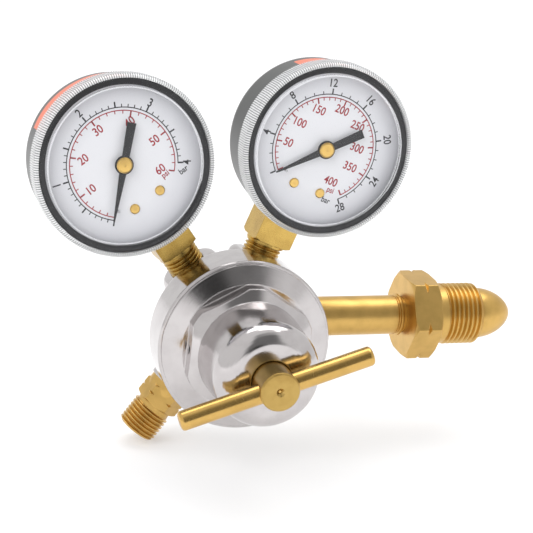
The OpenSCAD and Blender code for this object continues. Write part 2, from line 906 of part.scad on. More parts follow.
// Pointer and its boss on the arbor
module pointer(side) {
    color(black)
        on_dial(side)
            layer(pointer_y, pointer_y + pointer_t)
                rotate(-zero_angle)
                    difference() {
                        union() {
                            polygon([
                                [-tip_half, pointer_len], [tip_half, pointer_len], [root_half, pointer_hub_r],
                                [root_half, 0], [tail_half, -tail_len], [-tail_half, -tail_len],
                                [-root_half, 0], [-root_half, pointer_hub_r]
                            ]);
                            circle(r = pointer_hub_r);
                        }
                        circle(r = arbor_r + seat_gap);
                    }
}

module pointer_boss(side) {
    color(brass)
        on_dial(side)
            difference() {
                union() {
                    turned([
                        [0, pointer_y - 0.9], [1.8, pointer_y - 0.9],
                        [1.8, pointer_y - seat_gap], [0, pointer_y - seat_gap]
                    ]);
                    turned([
                        [0, pointer_y + pointer_t + seat_gap],
                        [pointer_boss_r, pointer_y + pointer_t + seat_gap],
                        [pointer_boss_r, pointer_y + 0.9], [pointer_boss_r - 0.5, pointer_y + 1.3],
                        [0, pointer_y + 1.4]
                    ]);
                    bar(arbor_r, pointer_y - 0.9, pointer_y + 1.2);
                }
                bar(arbor_r - 0.2, pointer_y - 1, pointer_y + 1);
            }
}

// Arbor with the pinion cut on it
module arbor(side) {
    color(brass)
        on_dial(side)
            union() {
                bar(arbor_r - 0.22, back_plate_y - plate_gauge + 0.1, pointer_y + 0.98);
                layer(link_front + 0.1, sector_front + 0.5)
                    gear(pinion_teeth, pinion_r, [0:pinion_teeth - 1], 15, 0);
            }
}

// Teeth with straight flanks on a round blank
module gear(teeth, r, which, first, blank) {
    pitch = 360 / teeth;
    root_w = 0.42 * tooth_module * PI / 2;
    tip_w = 0.20 * tooth_module * PI / 2;
    root_r = r - 1.15 * tooth_module;
    tip_r = r + 0.85 * tooth_module;
    union() {
        difference() {
            circle(r = root_r + 0.02);
            if (blank > 0)
                circle(r = blank);
        }
        for (i = which)
            rotate(first + pitch * i)
                polygon([
                    [root_r - 0.05, -root_w * 1.25], [root_r - 0.05, root_w * 1.25],
                    [tip_r, tip_w], [tip_r, -tip_w]
                ]);
    }
}

module sector(side) {
    span_from = 90 - 12 * 360 / sector_teeth;
    span_to = 90 + 3 * 360 / sector_teeth;
    color(brass)
        on_dial(side)
            translate([0, 0, -pivot_drop]) {
                layer(sector_front - sector_t, sector_front) {
                    intersection() {
                        gear(sector_teeth, sector_r, [-11:2], 90, 0);
                        difference() {
                            polygon([
                                [0, 0],
                                2 * sector_r * [cos(span_from), sin(span_from)],
                                2 * sector_r * [cos(90), sin(90)],
                                2 * sector_r * [cos(span_to), sin(span_to)]
                            ]);
                            translate([sector_r * 0.62 * cos(75), sector_r * 0.62 * sin(75)])
                                circle(r = 1.9);
                        }
                    }
                    circle(r = 1.7);
                    rotate(tail_angle)
                        translate([0, -0.9])
                            square([tail_r + 0.9, 1.8]);
                }
                bar(arbor_r - 0.2, back_plate_y - plate_gauge + 0.1, front_plate_y - 0.1);
                translate([tail_r * cos(tail_angle), 0, tail_r * sin(tail_angle)])
                    bar(link_pin_r, link_front - link_t - 0.3, sector_front - eps);
            }
}

module link(side) {
    color(brass)
        on_dial(side)
            layer(link_front - link_t, link_front)
                difference() {
                    hull() {
                        translate(tail_pin) circle(r = 1.1, $fn = 32);
                        translate(tip_pin) circle(r = 1.1, $fn = 32);
                    }
                    translate(tail_pin) circle(r = link_pin_r + running);
                    translate(tip_pin) circle(r = link_pin_r + 2 * running);
                }
}

// Outline that both plates of the movement share
plate_half = 7;
plate_up = 5;
plate_down = pivot_drop + 7.6;
pillar_x = 5.6;
pillar_up = 3.4;
pillar_down = 1.6 - plate_down;
pillar_r = 0.9;

module plate_outline() {
    difference() {
        translate([-plate_half, -plate_down])
            square([2 * plate_half, plate_down + plate_up]);
        circle(r = arbor_r - 0.22 + running);
        translate([0, -pivot_drop])
            circle(r = arbor_r - 0.2 + running);
    }
}

module front_plate(side) {
    color(brass)
        on_dial(side)
            layer(front_plate_y - plate_gauge, front_plate_y - seat_gap)
                difference() {
                    plate_outline();
                    for (x = [-1, 1])
                        translate([screw_x * x, screw_z])
                            circle(r = dial_screw_r + seat_gap);
                }
}

module back_plate(side) {
    color(brass)
        on_dial(side)
            union() {
                layer(back_plate_y - plate_gauge, back_plate_y)
                    plate_outline();
                layer(back_plate_y - eps, front_plate_y - plate_gauge - seat_gap)
                    for (p = [[-1, pillar_up], [1, pillar_up], [-1, pillar_down], [1, pillar_down]])
                        translate([pillar_x * p[0], p[1]])
                            circle(r = pillar_r);
            }
}

// Flat tube bent round the dial's centre, between two angles from the right
module bourdon_ring(t, w, from, to) {
    rotate([90, 0, 0])
        rotate([0, 0, from])
            rotate_extrude(angle = to - from)
                translate([bourdon_r - t / 2, -w / 2])
                    square([t, w]);
}

// Solid end piece of the tube
tip_block = 3.6;

module bourdon_tube(side) {
    color(brass)
        on_dial(side)
            union() {
                bourdon_ring(bourdon_t, bourdon_w, tip_angle, 270);
                layer(1 - bourdon_w / 2, link_front - link_t - 0.1)
                    rotate(tip_angle)
                        translate([bourdon_r - tip_block / 2, -tip_block / 2])
                            square(tip_block);
                translate([tip_pin[0], 0, tip_pin[1]])
                    bar(link_pin_r, link_front - link_t - 0.2, link_front + 0.3);
            }
}

// One gauge's pieces by name, so that both gauges share them
module gauge_piece(side, piece) {
    if (piece == "socket") socket(side);
    if (piece == "case") gauge_case(side);
    if (piece == "lens") lens(side);
    if (piece == "ring") black_ring(side);
    if (piece == "dial") dial(side);
    if (piece == "dial_screws") dial_screws(side);
    if (piece == "stop_pin") stop_pin(side);
    if (piece == "pointer") pointer(side);
    if (piece == "pointer_boss") pointer_boss(side);
    if (piece == "arbor") arbor(side);
    if (piece == "sector") sector(side);
    if (piece == "link") link(side);
    if (piece == "front_plate") front_plate(side);
    if (piece == "back_plate") back_plate(side);
    if (piece == "bourdon_tube") bourdon_tube(side);
}

GAUGE_PIECES = [
    "socket", "case", "lens", "ring", "dial", "dial_screws", "stop_pin",
    "pointer", "pointer_boss", "arbor", "sector", "link", "front_plate",
    "back_plate", "bourdon_tube"
];

translate([-inlet_ref, 0, 0]) {
    body();
    bonnet();
    adjusting_screw();
    cross_bar();
    spring_button();
    pressure_spring();
    diaphragm_plate();
    slip_ring();
    diaphragm();
    nozzle();
    seat_disc();
    poppet();
    valve_pin();
    valve_spring();
    inlet_filter();
    inlet_nipple();
    inlet_nut();
    outlet_fitting();
    for (side = ["left", "right"])
        for (piece = GAUGE_PIECES)
            gauge_piece(side, piece);
}
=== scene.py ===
"""Looks of a gas regulator with two gauges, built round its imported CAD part.

The object's own lengths are in millimetres, and a matrix or MM turns them into metres. The camera, the floor
and the lamps are placed in metres.
"""

import math

import bmesh
import bpy
from mathutils import Matrix, Vector


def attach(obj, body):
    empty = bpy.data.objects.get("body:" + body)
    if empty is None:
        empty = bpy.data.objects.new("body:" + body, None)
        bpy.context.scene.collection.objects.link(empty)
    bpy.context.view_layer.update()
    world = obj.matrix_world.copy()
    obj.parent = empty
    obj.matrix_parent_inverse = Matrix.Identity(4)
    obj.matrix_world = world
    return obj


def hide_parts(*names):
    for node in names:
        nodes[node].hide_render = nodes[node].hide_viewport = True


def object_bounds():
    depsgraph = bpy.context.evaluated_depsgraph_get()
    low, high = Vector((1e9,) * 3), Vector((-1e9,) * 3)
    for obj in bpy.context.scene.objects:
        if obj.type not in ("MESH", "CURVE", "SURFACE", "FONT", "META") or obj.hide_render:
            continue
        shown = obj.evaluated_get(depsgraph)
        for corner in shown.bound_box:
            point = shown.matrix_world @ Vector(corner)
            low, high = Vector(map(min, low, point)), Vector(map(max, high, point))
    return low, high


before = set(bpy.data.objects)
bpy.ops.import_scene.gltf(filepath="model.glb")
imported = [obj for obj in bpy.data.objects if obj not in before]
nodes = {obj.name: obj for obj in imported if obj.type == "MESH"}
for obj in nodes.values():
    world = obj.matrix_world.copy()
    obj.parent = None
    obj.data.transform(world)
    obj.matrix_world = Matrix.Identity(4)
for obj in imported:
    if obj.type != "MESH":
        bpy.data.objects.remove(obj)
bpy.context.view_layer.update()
scene = bpy.context.scene

MM = 0.001
SIDES = ("left", "right")

# Places that the CAD source names: how far the origin lies from the regulator's axis, the stems ahead of the
# port plane and the dials ahead of their stems, the outlet's angle, and the faces of the gauges' bosses
INLET_REF = 88.7
STEM_AHEAD = 6.0
DIAL_AHEAD = 13.2
OUTLET_ANGLE = -143.7
BOSS_FACE = 27.0

# The gauges: angle of the stem, reach of the dial's centre, twist about the stem, clockwise turn of the print
GAUGES = {
    "left": {"angle": -36.2, "reach": 72.7, "twist": 5.8, "print_turn": -1.5},
    "right": {"angle": 21.2, "reach": 70.4, "twist": 2.8, "print_turn": -0.2},
}

# Threads about a port or a stem: radius over the crests, depth, pitch, and a hand of 1 (right) or -1 (left)
NUT_THREAD = {"radius": 11.24, "depth": 1.0, "pitch": 1.814, "start": 82.6, "end": 97.6, "hand": -1}
OUTLET_THREAD = {"radius": 7.14, "depth": 0.86, "pitch": 1.411, "start": 40.6, "end": 51.6, "hand": -1}
STEM_THREAD = {"radius": 6.45, "depth": 0.8, "pitch": 1.411, "start": BOSS_FACE - 3.0, "hand": 1}
STEM_THREAD_END = {"left": BOSS_FACE + 6.0, "right": BOSS_FACE + 4.2}

# The screw-on windows and their ribbed skirts: radii, and distances ahead of the stem's axis
WINDOW_R = 28.3
WINDOW_STEP = 25.4
WINDOW_BACK = 16.8
WINDOW_FRONT = 18.6
SKIRT_R = 29.45
SKIRT_BACK = 10.9
RIBS = 240
RIB_R = 0.30
RIB_LEN = 6.1
RIB_START = SKIRT_BACK + 0.2
RIB_CIRCLE = 29.5

# The print: thickness of the ink, the scales' sweep clockwise from straight up, their arcs and their letters
INK = 0.03
ZERO = -135.0
SWEEP = 270.0
BLACK_ARC = 18.46
RED_ARC = 17.43
ARC_HALF = 0.16
ARC_OVERRUN = 0.4
SHORT_TICK = {"width": 0.30, "length": 1.05}
LONG_TICK = {"width": 0.50, "length": 1.9}
RED_SIZE = 3.9
BLACK_SIZE = 3.8
UNIT_SIZE = 2.8
LETTER_NARROW = 0.86
LETTER_WEIGHT = 0.015
# Black numbers past this angle stand the other way up
TURNED_PAST = 95
# Degrees by which a number stands off its tick
NUDGE = {400: 8}
# Each scale: the value at the sweep's end, the last value, the steps, and a radius for each number
SCALES = {
    "left": {
        "psi": {
            "span": 60, "last": 60, "tick": 2, "long": 10, "unit": (9.3, -11.6),
            "numbers": {10: 12.9, 20: 13.2, 30: 13.9, 40: 13.9, 50: 12.9, 60: 12.6},
        },
        "bar": {
            "span": 4.1368, "last": 4, "tick": 0.1, "long": 0.5, "unit": (15.0, -13.9),
            "numbers": {1: 22.5, 2: 22.1, 3: 21.7, 4: 21.5},
        },
    },
    "right": {
        "psi": {
            "span": 400, "last": 400, "tick": 10, "long": 50, "unit": (8.2, -12.4),
            "numbers": {
                50: 13.2, 100: 12.9, 150: 13.5, 200: 14.1, 250: 13.6, 300: 11.7, 350: 11.5, 400: 11.5,
            },
        },
        "bar": {
            "span": 27.579, "last": 28, "tick": 1, "long": 4, "unit": (8.2, -15.8),
            "numbers": {4: 21.7, 8: 22.1, 12: 22.3, 16: 22.4, 20: 22.6, 24: 22.1, 28: 21.6},
        },
    },
}


def as_object(name, data):
    made = bpy.data.objects.new(name, data)
    scene.collection.objects.link(made)
    return made


# Camera

camera = as_object("camera", bpy.data.cameras.new("camera"))
scene.camera = camera
camera.data.sensor_width = 36
camera.data.lens = 92.886
camera.data.clip_start = 0.01
camera.data.clip_end = 20
camera.location = (-0.210080, -0.447999, 0.151893)
camera.rotation_euler = [math.radians(a) for a in (74.10901, -3.89388, -15.76345)]


# Frames of the object's parts

def turned(degrees, axis):
    return Matrix.Rotation(math.radians(degrees), 4, axis)


def port(angle, ahead=0.0):
    """Frame of a port: millimetres, Z along the port from the regulator's axis."""
    return Matrix.Scale(MM, 4) @ Matrix.Translation((-INLET_REF, -ahead, 0)) @ turned(angle, "Y")


def on_stem(side):
    """Frame of a gauge's stem, with the dial towards -Y."""
    gauge = GAUGES[side]
    return port(gauge["angle"], STEM_AHEAD) @ turned(gauge["twist"], "Z")


def on_dial(side):
    """Frame of a dial's centre on the stem's axis."""
    return on_stem(side) @ Matrix.Translation((0, 0, GAUGES[side]["reach"]))


def on_print(side, ahead=DIAL_AHEAD):
    """Frame of the dial's print: X right, Y up, Z towards the viewer."""
    return (
        on_dial(side) @ turned(90, "X") @ Matrix.Translation((0, 0, ahead))
        @ turned(-GAUGES[side]["print_turn"], "Z")
    )


INLET = port(90)
OUTLET = port(OUTLET_ANGLE)
# The regulator's axis as Z, from the port plane forwards
AXIS = port(0) @ turned(90, "X")


# Meshes

# Edges of the threaded pieces that bend more than this, in degrees, are sharp
SHARP = 40
# Faces of a CAD node that bend less than this lie in one plane, and points closer than this are one
FLAT = 0.4
WELD = 0.002


def mesh_from(shape, name):
    mesh = bpy.data.meshes.new(name)
    shape.to_mesh(mesh)
    shape.free()
    return mesh


def baked(source, name):
    """The object's mesh with its modifiers applied; the object itself goes."""
    bpy.context.view_layer.update()
    evaluated = source.evaluated_get(bpy.context.evaluated_depsgraph_get())
    mesh = bpy.data.meshes.new_from_object(evaluated)
    mesh.name = name
    bpy.data.objects.remove(source)
    return mesh


def shade(mesh, angle):
    """Smooth faces, with the edges sharper than the angle kept crisp."""
    shape = bmesh.new()
    shape.from_mesh(mesh)
    for face in shape.faces:
        face.smooth = True
    for edge in shape.edges:
        edge.smooth = len(edge.link_faces) == 2 and edge.calc_face_angle(0) < math.radians(angle)
    shape.to_mesh(mesh)
    shape.free()


def merged(node):
    """A closed copy of a CAD node, with its flat faces whole."""
    shape = bmesh.new()
    shape.from_mesh(nodes[node].data)
    bmesh.ops.remove_doubles(shape, verts=shape.verts, dist=WELD * MM)
    bmesh.ops.dissolve_limit(
        shape, angle_limit=math.radians(FLAT), use_dissolve_boundaries=False,
        verts=shape.verts, edges=shape.edges,
    )
    return mesh_from(shape, node)


def cut(mesh, cutter, name):
    """The first mesh less the second."""
    body, tool = as_object(mesh.name, mesh), as_object(cutter.name, cutter)
    modifier = body.modifiers.new("cut", "BOOLEAN")
    modifier.operation = "DIFFERENCE"
    modifier.solver = "EXACT"
    modifier.object = tool
    made = baked(body, name)
    bpy.data.objects.remove(tool)
    return made


def eased(mesh, width, segments):
    """Sharp edges rounded by a small real bevel."""
    shade(mesh, SHARP)
    made = as_object(mesh.name, mesh)
    bevel = made.modifiers.new("bevel", "BEVEL")
    bevel.width = width * MM
    bevel.segments = segments
    bevel.limit_method = "ANGLE"
    bevel.angle_limit = math.radians(SHARP)
    bevel.use_clamp_overlap = True
    bevel.miter_outer = "MITER_ARC"
    weighted = made.modifiers.new("weighted", "WEIGHTED_NORMAL")
    weighted.keep_sharp = True
    return baked(made, mesh.name)


def finished(mesh, name, body, finish, replaces=()):
    """A piece with its material, riding on its body."""
    mesh.materials.clear()
    mesh.materials.append(finish)
    mesh.name = name
    piece = as_object(name, mesh)
    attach(piece, body)
    if replaces:
        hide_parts(*replaces)
    return piece


def joined(parts):
    """One mesh from several."""
    shape = bmesh.new()
    for mesh in parts:
        shape.from_mesh(mesh)
    return mesh_from(shape, parts[0].name)


def bridged(shape, near, far, closed=True):
    """Faces between two rows of points, closed rows or open ones."""
    count = len(near)
    for i in range(count if closed else count - 1):
        j = (i + 1) % count
        shape.faces.new((near[i], far[i], far[j], near[j]))


def spun(profile, name, closed=True, steps=192):
    """Solid of revolution about Z from [radius, height] points."""
    shape = bmesh.new()
    rows = []
    for k in range(steps):
        angle = 2 * math.pi * k / steps
        rows.append([shape.verts.new((r * math.cos(angle), r * math.sin(angle), h)) for r, h in profile])
    for k in range(steps):
        bridged(shape, rows[k], rows[(k + 1) % steps], closed)
    bmesh.ops.remove_doubles(shape, verts=shape.verts, dist=1e-5)
    bmesh.ops.recalc_face_normals(shape, faces=shape.faces)
    return mesh_from(shape, name)


def swept(rows, name):
    """A closed bar through rows of points, with its two ends filled."""
    shape = bmesh.new()
    rows = [[shape.verts.new(point) for point in row] for row in rows]
    for near, far in zip(rows, rows[1:]):
        bridged(shape, near, far)
    shape.faces.new(rows[0])
    shape.faces.new(rows[-1])
    bmesh.ops.recalc_face_normals(shape, faces=shape.faces)
    return mesh_from(shape, name)


# Repeats: one mark, copied round a circle

def repeat_tree():
    tree = bpy.data.node_groups.new("round_a_circle", "GeometryNodeTree")
    face = tree.interface
    face.new_socket("Geometry", in_out="INPUT", socket_type="NodeSocketGeometry")
    for name, kind in (
        ("Count", "NodeSocketInt"), ("Radius", "NodeSocketFloat"), ("First Angle", "NodeSocketFloat"),
        ("Step Angle", "NodeSocketFloat"), ("Material", "NodeSocketMaterial"),
    ):
        face.new_socket(name, in_out="INPUT", socket_type=kind)
    face.new_socket("Geometry", in_out="OUTPUT", socket_type="NodeSocketGeometry")

    def node(kind, **settings):
        made = tree.nodes.new(kind)
        for key, value in settings.items():
            setattr(made, key, value)
        return made

    link = tree.links.new
    given, result = node("NodeGroupInput"), node("NodeGroupOutput")
    index = node("GeometryNodeInputIndex")
    angle = node("ShaderNodeMath", operation="MULTIPLY_ADD")
    link(index.outputs[0], angle.inputs[0])
    link(given.outputs["Step Angle"], angle.inputs[1])
    link(given.outputs["First Angle"], angle.inputs[2])
    sine, cosine = node("ShaderNodeMath", operation="SINE"), node("ShaderNodeMath", operation="COSINE")
    link(angle.outputs[0], sine.inputs[0])
    link(angle.outputs[0], cosine.inputs[0])
    direction = node("ShaderNodeCombineXYZ")
    link(sine.outputs[0], direction.inputs[0])
    link(cosine.outputs[0], direction.inputs[1])
    position = node("ShaderNodeVectorMath", operation="SCALE")
    link(direction.outputs[0], position.inputs[0])
    link(given.outputs["Radius"], position.inputs["Scale"])
    points = node("GeometryNodePoints")
    link(given.outputs["Count"], points.inputs["Count"])
    link(position.outputs[0], points.inputs["Position"])
    back = node("ShaderNodeMath", operation="MULTIPLY")
    back.inputs[1].default_value = -1
    link(angle.outputs[0], back.inputs[0])
    turn = node("ShaderNodeCombineXYZ")
    link(back.outputs[0], turn.inputs[2])
    instances = node("GeometryNodeInstanceOnPoints")
    link(points.outputs[0], instances.inputs["Points"])
    link(given.outputs["Geometry"], instances.inputs["Instance"])
    link(turn.outputs[0], instances.inputs["Rotation"])
    real = node("GeometryNodeRealizeInstances")
    link(instances.outputs[0], real.inputs[0])
    painted = node("GeometryNodeSetMaterial")
    link(real.outputs[0], painted.inputs["Geometry"])
    link(given.outputs["Material"], painted.inputs["Material"])
    link(painted.outputs[0], result.inputs[0])
    return tree


ROUND_A_CIRCLE = repeat_tree()


def repeated(mark, count, radius, first, step, finish):
    """The mark copied round Z, from an angle in degrees clockwise from Y."""
    holder = as_object(mark.name, mark)
    modifier = holder.modifiers.new("repeat", "NODES")
    modifier.node_group = ROUND_A_CIRCLE
    values = {
        "Count": count, "Radius": float(radius), "First Angle": math.radians(first),
        "Step Angle": math.radians(step), "Material": finish,
    }
    for item in ROUND_A_CIRCLE.interface.items_tree:
        if item.in_out == "INPUT" and item.name in values:
            modifier[item.identifier] = values[item.name]
    return baked(holder, mark.name)


# Shader trees

class Value:
    """A number in a shader tree; arithmetic on it adds Math nodes."""

    def __init__(self, shades, socket):
        self.shades, self.socket = shades, socket

    def math(self, operation, *others):
        made = self.shades.node(
            "ShaderNodeMath", {"operation": operation}, dict(enumerate((self, *others)))
        )
        return Value(self.shades, made.outputs[0])

    def __add__(self, other):
        return self.math("ADD", other)

    def __sub__(self, other):
        return self.math("SUBTRACT", other)

    def __mul__(self, other):
        return self.math("MULTIPLY", other)

    def __gt__(self, other):
        return self.math("GREATER_THAN", other)

    def __lt__(self, other):
        return self.math("LESS_THAN", other)

    def __rsub__(self, other):
        return self.math("MULTIPLY", -1.0).math("ADD", other)

    __radd__, __rmul__ = __add__, __mul__

    def root(self):
        return self.math("SQRT")

    def between(self, low, high):
        """0 below low, 1 above high, and a straight ramp in between."""
        made = self.shades.node("ShaderNodeMapRange", None, {0: self, 1: low, 2: high, 3: 0.0, 4: 1.0})
        return Value(self.shades, made.outputs[0])

    def eased(self, low, high, at_low, at_high):
        """A smooth change from one number to another, between low and high."""
        made = self.shades.node(
            "ShaderNodeMapRange", {"interpolation_type": "SMOOTHSTEP"},
            {0: self, 1: low, 2: high, 3: at_low, 4: at_high},
        )
        return Value(self.shades, made.outputs[0])


class Shades:
    """A shader tree under construction, of a material or of the world."""

    def __init__(self, tree):
        self.tree = tree

    def node(self, kind, settings=None, values=None):
        made = self.tree.nodes.new(kind)
        for key, value in (settings or {}).items():
            setattr(made, key, value)
        for key, value in (values or {}).items():
            self.put(made.inputs[key], value)
        return made

    def put(self, socket, value):
        if isinstance(value, Value):
            value = value.socket
        if isinstance(value, bpy.types.NodeSocket):
            self.tree.links.new(value, socket)
        else:
            socket.default_value = value

    def value(self, socket):
        return Value(self, socket)

    def xyz(self, vector):
        parts = self.node("ShaderNodeSeparateXYZ", None, {0: vector})
        return [self.value(out) for out in parts.outputs]


class Finish(Shades):
    """A material with one Principled shader."""

    def __init__(self, name, color, roughness, metallic=0.0, **fixed):
        self.material = bpy.data.materials.new(name)
        self.material.use_nodes = True
        super().__init__(self.material.node_tree)
        self.shader = self.tree.nodes["Principled BSDF"]
        self.set(**{"Base Color": (*color, 1), "Roughness": roughness, "Metallic": metallic})
        for key, value in fixed.items():
            self.shader.inputs[key.replace("_", " ")].default_value = value

    def set(self, **values):
        for key, value in values.items():
            self.put(self.shader.inputs[key], value)

    def local(self, matrix):
        """Coordinates in millimetres in a part's own frame, as a vector socket."""
        place, turn, _ = matrix.decompose()
        coordinates = self.node("ShaderNodeTexCoord")
        mapping = self.node(
            "ShaderNodeMapping", {"vector_type": "TEXTURE"},
            {"Vector": coordinates.outputs["Object"], "Location": place,
             "Rotation": turn.to_euler("XYZ"), "Scale": (MM, MM, MM)},
        )
        return mapping.outputs[0]

    def noise(self, vector, scale, detail, roughness=0.5):
        made = self.node(
            "ShaderNodeTexNoise", None,
            {"Vector": vector, "Scale": scale, "Detail": detail, "Roughness": roughness},
        )
        return self.value(made.outputs[0])

    def line_noise(self, along, scale, detail):
        """Noise that changes with one number only, such as the lines of a lathe tool."""
        made = self.node(
            "ShaderNodeTexNoise", {"noise_dimensions": "1D"}, {"W": along, "Scale": scale, "Detail": detail}
        )
        return self.value(made.outputs[0])

    def mix(self, factor, first, second):
        """A colour between two, each of three numbers."""
        made = self.node(
            "ShaderNodeMix", {"data_type": "RGBA"}, {0: factor, 6: (*first, 1), 7: (*second, 1)}
        )
        return made.outputs[2]

    def bump(self, height, strength, distance, normal=None):
        """A normal bent by a height, whose full depth is given in millimetres."""
        values = {"Height": height, "Strength": strength, "Distance": distance * MM}
        if normal is not None:
            values["Normal"] = normal
        return self.node("ShaderNodeBump", None, values).outputs[0]


# Metals

# Clouds and specks per millimetre, and how much noise it takes for a cloud to begin and to be full
CLOUD_SCALE = 0.16
CLOUD_RAMP = (0.42, 0.68)
SPECK_SCALE = 1.7
# Tool lines: their depth, and how fast they run along the axis, where 1 is as fast as across a flat end
LINE_DEPTH = 0.012
LINE_RUN = 0.83
# How far tool lines and specks change the roughness
LINE_ROUGH = 0.06
SPECK_ROUGH = 0.08
BEVEL_SAMPLES = 6


def plated(
    name, matrix, color, roughness, line=0.3, lines_per_mm=4.0, tarnish=(0.5, 0.5, 0.5), spots=0.3, edge=0.3
):
    """Turned and polished metal: fine tool lines round Z, slight clouding and rounded edges."""
    made = Finish(name, color, roughness, metallic=1.0)
    at = made.local(matrix)
    x, y, z = made.xyz(at)
    radius = (x * x + y * y).root()
    rings = made.line_noise(radius + z * LINE_RUN, lines_per_mm, detail=3.0)
    cloud = made.noise(at, CLOUD_SCALE, detail=4.0)
    specks = made.noise(at, SPECK_SCALE, detail=5.0, roughness=0.6)
    rounded = made.node("ShaderNodeBevel", {"samples": BEVEL_SAMPLES}, {"Radius": edge * MM})
    middle = roughness - (LINE_ROUGH + SPECK_ROUGH) / 2
    made.set(**{
        "Base Color": made.mix(cloud.between(*CLOUD_RAMP) * spots, color, tarnish),
        "Roughness": rings * LINE_ROUGH + specks * SPECK_ROUGH + middle,
        "Normal": made.bump(rings, line, LINE_DEPTH, rounded.outputs[0]),
    })
    return made.material


CHROME = (0.58, 0.553, 0.55)
CHROME_DULL = (0.47, 0.44, 0.44)
BRASS = (0.66, 0.42, 0.13)
BRASS_DEEP = (0.46, 0.29, 0.08)
BRASS_LIGHT = (0.84, 0.55, 0.15)
BRASS_DARK = (0.52, 0.35, 0.11)
BRASS_BROWN = (0.36, 0.22, 0.06)
SOCKET_LEFT = (0.50, 0.33, 0.09)
SOCKET_LEFT_DEEP = (0.32, 0.19, 0.04)
SOCKET_RIGHT = (0.64, 0.43, 0.12)
STEEL = (0.58, 0.58, 0.60)

chrome = plated(
    "chrome", AXIS, CHROME, roughness=0.12, line=0.5, lines_per_mm=2.5, tarnish=CHROME_DULL,
    spots=0.5, edge=0.7,
)
brass_inlet = plated("brass_inlet", INLET, BRASS, roughness=0.34, line=0.4, tarnish=BRASS_DEEP, spots=0.5)
brass_outlet = plated(
    "brass_outlet", OUTLET, BRASS, roughness=0.30, line=0.4, tarnish=BRASS_DEEP, spots=0.5
)
brass_bright = plated(
    "brass_bright", AXIS, BRASS_LIGHT, roughness=0.30, line=0.1, tarnish=BRASS, spots=0.4, edge=0.1
)
brass_handle = plated("brass_handle", AXIS, BRASS, roughness=0.25, line=0.2, tarnish=BRASS_DEEP, spots=0.4)
brass_dark = plated("brass_dark", AXIS, BRASS_DARK, roughness=0.30, line=0.4, tarnish=BRASS_BROWN, spots=0.6)
steel = plated("steel", AXIS, STEEL, roughness=0.28)
brass_socket = {
    "left": plated(
        "brass_socket_left", on_stem("left"), SOCKET_LEFT, roughness=0.28,
        lines_per_mm=3.0, tarnish=SOCKET_LEFT_DEEP, spots=0.8,
    ),
    "right": plated(
        "brass_socket_right", on_stem("right"), SOCKET_RIGHT, roughness=0.28,
        lines_per_mm=3.0, tarnish=BRASS_DEEP, spots=0.6,
    ),
}


# Plastics, paints and inks

# Plain stuff: its grain per metre, depth in millimetres and part in roughness, and its broad darker patches
GRAIN_SCALE = 900.0
GRAIN_DEPTH = 0.02
GRAIN_ROUGH = 0.12
PATCH_SCALE = GRAIN_SCALE / 12
PATCH_RAMP = (0.35, 0.7)
DARKER = 0.86
DIAL_WHITE = (0.78, 0.785, 0.82)
# The grey of the painted shade at a dial's rim
DIAL_RIM_SHADE = (0.64, 0.645, 0.69)
# Radii between which painted shade turns a dial greyer towards its rim
DIAL_SHADE_RADII = (14.0, 27.0)
DIAL_ROUGH = 0.36
CHARCOAL = (0.030, 0.032, 0.030)
ORANGE = (0.70, 0.13, 0.05)
# The orange field's two edges, in degrees clockwise from the top of the case
ORANGE_FIELD = {"left": (-33, 40), "right": (-39, 40)}
WINDOW_TINT = (0.96, 0.97, 1.0)
# How much of the window's gloss shows, and the painted highlight line at its step: how strong, and half its
# width at the core and at the faded edge
GLOSS_SHARE = 0.5
STEP_HIGHLIGHT_SHARE = 0.5
STEP_HIGHLIGHT_CORE = 0.1
STEP_HIGHLIGHT_EDGE = 0.35
# The painted shade between two ribs of the skirt, and the skirt's pale plastic
SKIRT_GROOVE_SHADE = (0.50, 0.51, 0.52)
SKIRT_PALE = (0.92, 0.925, 0.93)
# The part of a sine, one wave for each rib, over which the painted shade between ribs turns pale
RIB_SHADE_RAMP = (-0.6, 0.6)
# How opaque the skirt is: everywhere, and more on its ribs and in its haze
SKIRT_ALPHA = 0.35
RIB_ALPHA = 0.25
HAZE_ALPHA = 0.2


def plain(name, color, roughness, grain=0.1):
    """Moulded or painted stuff with a faint grain."""
    made = Finish(name, color, roughness)
    coordinates = made.node("ShaderNodeTexCoord").outputs["Object"]
    grains = made.noise(coordinates, GRAIN_SCALE, detail=4.0)
    patches = made.noise(coordinates, PATCH_SCALE, detail=2.0).between(*PATCH_RAMP)
    made.set(**{
        "Base Color": made.mix(patches, color, tuple(c * DARKER for c in color)),
        "Roughness": grains * GRAIN_ROUGH + (roughness - GRAIN_ROUGH / 2),
        "Normal": made.bump(grains, grain, GRAIN_DEPTH),
    })
    return made.material


rubber = plain("rubber", (0.03, 0.03, 0.03), roughness=0.7)
black_plastic = plain("black_plastic", (0.012, 0.012, 0.014), roughness=0.32)
black_paint = plain("black_paint", (0.010, 0.010, 0.012), roughness=0.42, grain=0.05)
black_ink = plain("black_ink", (0.014, 0.013, 0.018), roughness=0.5, grain=0.0)
red_ink = plain("red_ink", (0.36, 0.008, 0.02), roughness=0.5, grain=0.0)


def dial_white(side):
    """White painted sheet, with painted shade making it a little greyer towards the rim."""
    made = Finish("dial_white_" + side, DIAL_WHITE, DIAL_ROUGH)
    at = made.local(on_dial(side))
    x, _, z = made.xyz(at)
    radius = (x * x + z * z).root()
    speck = made.noise(at, scale=6.0, detail=4.0)
    made.set(**{
        "Base Color": made.mix(radius.between(*DIAL_SHADE_RADII), DIAL_WHITE, DIAL_RIM_SHADE),
        "Roughness": speck * 0.1 + DIAL_ROUGH,
        "Normal": made.bump(speck, strength=0.04, distance=0.02),
    })
    return made.material


